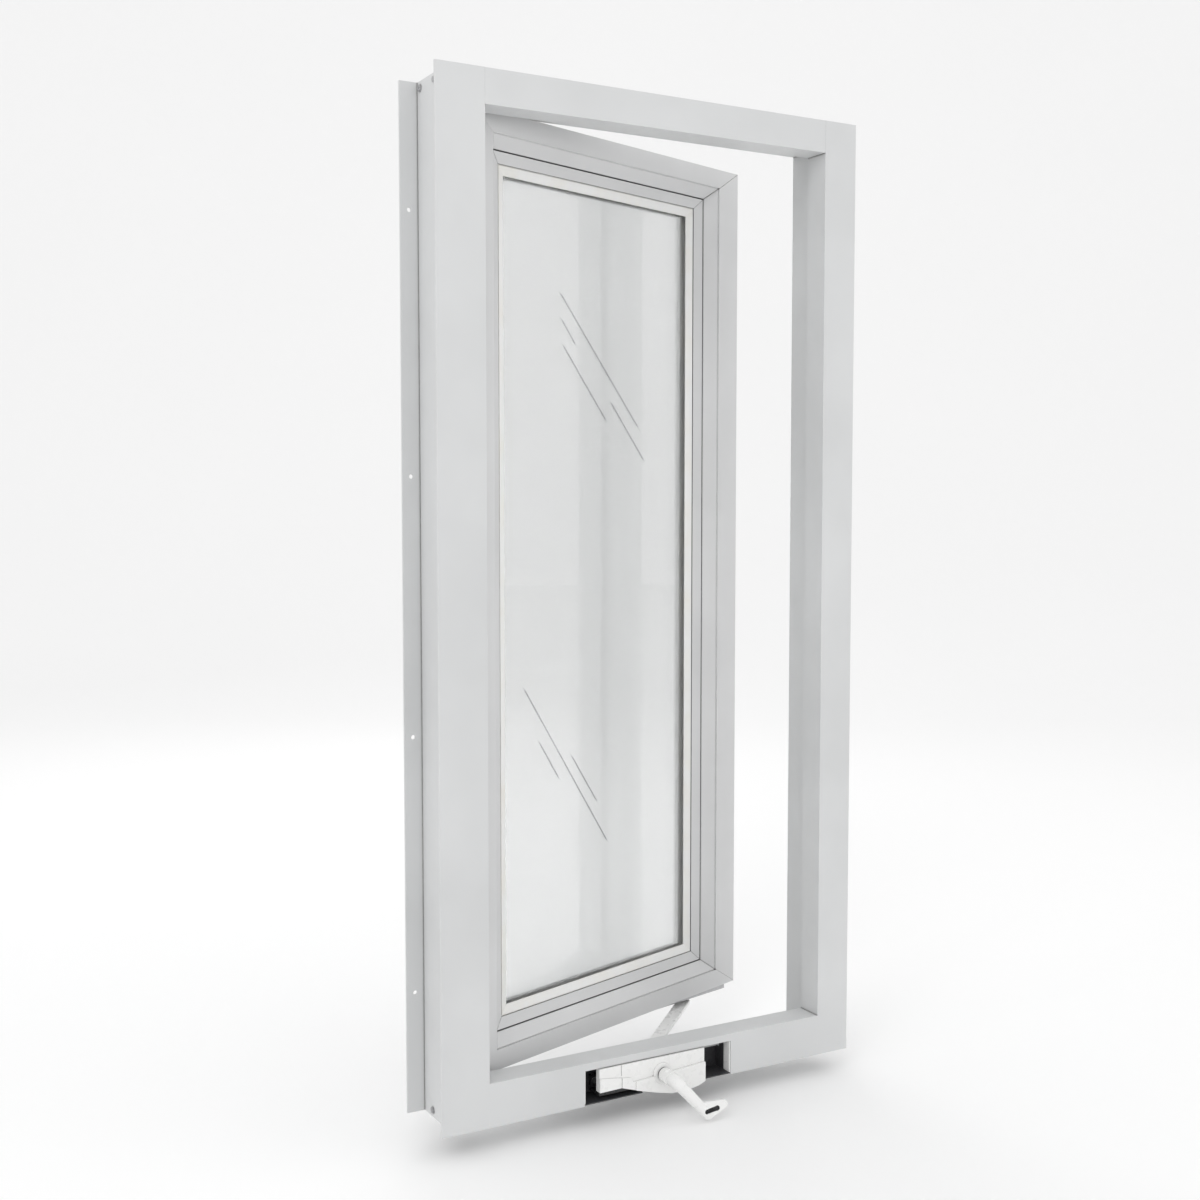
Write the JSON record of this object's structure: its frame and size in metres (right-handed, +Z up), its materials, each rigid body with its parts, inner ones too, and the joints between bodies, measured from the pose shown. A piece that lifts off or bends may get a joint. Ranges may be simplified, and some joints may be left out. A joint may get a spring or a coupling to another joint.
{
  "type": "casement window sash with crank operator",
  "caption": "Side-hung casement window: a fixed frame with fixing fins, a glazed sash that swings outwards, and a crank operator that drives it through a worm, an arm and a shoe in a track.",
  "frame": {"origin": "middle of the four outer fixing holes in the side fins, on the fins' wall side", "axes": "+X to the right seen from the room, +Y outdoors, +Z up"},
  "size_m": [0.608, 0.2946, 1.2257],
  "materials": {
    "frame_paint": "satin light grey powder coat on an extrusion",
    "sash_paint": "satin light grey powder coat on an extrusion",
    "bead_paint": "satin light grey powder coat on an extrusion",
    "wedge_vinyl": "matte white vinyl",
    "seal_rubber": "matte black",
    "tape_grey": "matte grey glazing tape",
    "liner_black": "moulded black",
    "operator_black": "black coat on a die casting",
    "glass": "clear float",
    "spacer_aluminium": "mill",
    "operator_white": "semi-gloss white enamel on a die casting",
    "steel": "zinc plated",
    "nylon_black": "moulded nylon",
    "key_aluminium": "mill"
  },
  "bodies": {
    "frame": {"hinge_jamb": "frame_paint", "lock_jamb": "frame_paint", "frame_head": "frame_paint", "frame_sill": "frame_paint", "frame_seal": "seal_rubber", "corner_screws": "steel", "hinge_frame_leaf_upper": "steel", "hinge_frame_leaf_lower": "steel", "hinge_pin_upper": "steel", "hinge_pin_lower": "steel", "hinge_frame_screws": "steel", "recess_liner": "liner_black", "recess_end_caps": "frame_paint", "operator_base": "operator_black", "operator_cover": "operator_white", "operator_screws": "steel", "arm_pivot_pin": "steel", "worm_bushing": "nylon_black", "spindle_seal": "seal_rubber"},
    "crank": {"worm_shaft": "steel", "crank_handle": "operator_white", "grip_pad": "seal_rubber", "crank_set_screw": "steel"},
    "arm": {"sector_gear": "steel", "operator_arm": "operator_white", "guide_stud": "steel"},
    "shoe": {"track_shoe": "nylon_black"},
    "sash": {"sash_hinge_stile": "sash_paint", "sash_lock_stile": "sash_paint", "sash_top_rail": "sash_paint", "sash_bottom_rail": "sash_paint", "sash_corner_keys": "key_aluminium", "bead_hinge": "bead_paint", "bead_lock": "bead_paint", "bead_top": "bead_paint", "bead_bottom": "bead_paint", "glazing_wedge": "wedge_vinyl", "glass_inner_pane": "glass", "glass_outer_pane": "glass", "glass_spacer": "spacer_aluminium", "glazing_tape": "tape_grey", "setting_blocks": "seal_rubber", "guide_track": "steel", "track_screws": "steel", "hinge_sash_leaf_upper": "steel", "hinge_sash_leaf_lower": "steel", "hinge_sash_screws": "steel"}
  },
  "joints": [
    {"name": "sash_swing", "type": "hinge", "parent": "frame", "child": "sash", "pos_m": [-0.2405, 0.021, 0], "axis": [0, 0, 1], "range_deg": [-18, 38]},
    {"name": "arm_swing", "type": "hinge", "parent": "frame", "child": "arm", "pos_m": [-0.016, -0.05, -0.568], "axis": [0, 0, 1], "range_deg": [-36, 76]},
    {"name": "shoe_turn", "type": "hinge", "parent": "arm", "child": "shoe", "pos_m": [0.1518, 0.11518, -0.56], "axis": [0, 0, 1], "range_deg": [-38, 18]},
    {"name": "crank_spin", "type": "hinge", "parent": "frame", "child": "crank", "pos_m": [0.002, -0.068, -0.578], "axis": [0, -1, 0], "range_deg": [-940, 1980]}
  ],
  "couplings": [
    {"joint": "arm_swing", "follows": "sash_swing", "ratio": 2},
    {"joint": "shoe_turn", "follows": "sash_swing", "ratio": -1},
    {"joint": "crank_spin", "follows": "sash_swing", "ratio": 52}
  ]
}
